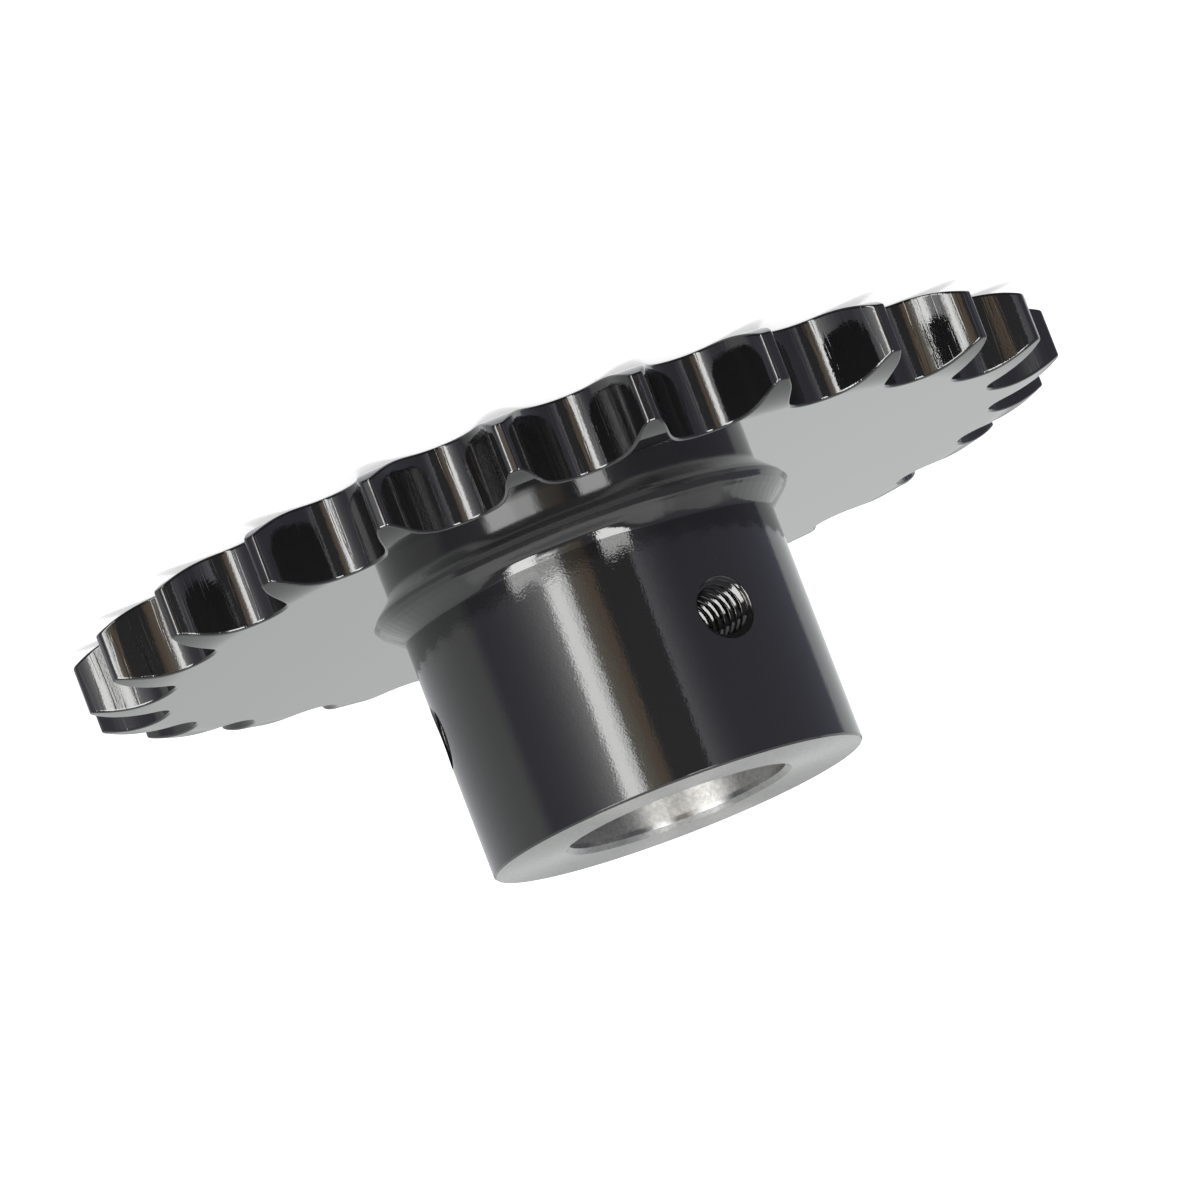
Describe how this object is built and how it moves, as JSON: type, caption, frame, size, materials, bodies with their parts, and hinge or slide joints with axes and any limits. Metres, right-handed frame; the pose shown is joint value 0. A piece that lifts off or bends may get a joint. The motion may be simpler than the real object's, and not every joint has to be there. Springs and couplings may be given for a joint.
{
  "type": "roller chain sprocket",
  "caption": "Welded roller-chain sprocket: toothed plate with relieved tooth sides on a turned hub with a through bore and tapped set-screw holes, painted gloss black.",
  "frame": {"origin": "centre of the bore at the plate's flat back face, which the part rests on", "axes": "+Z along the bore from the plate towards the free end of the hub; +X through the middle of a tooth gap and along the first set-screw hole"},
  "size_m": [0.1494, 0.1498, 0.0515],
  "materials": {
    "plate_paint": "gloss",
    "hub_paint": "gloss",
    "weld_paint": "gloss"
  },
  "bodies": {
    "root": {"toothed_plate": "plate_paint", "hub": "hub_paint", "weld_bead": "weld_paint"}
  },
  "joints": []
}
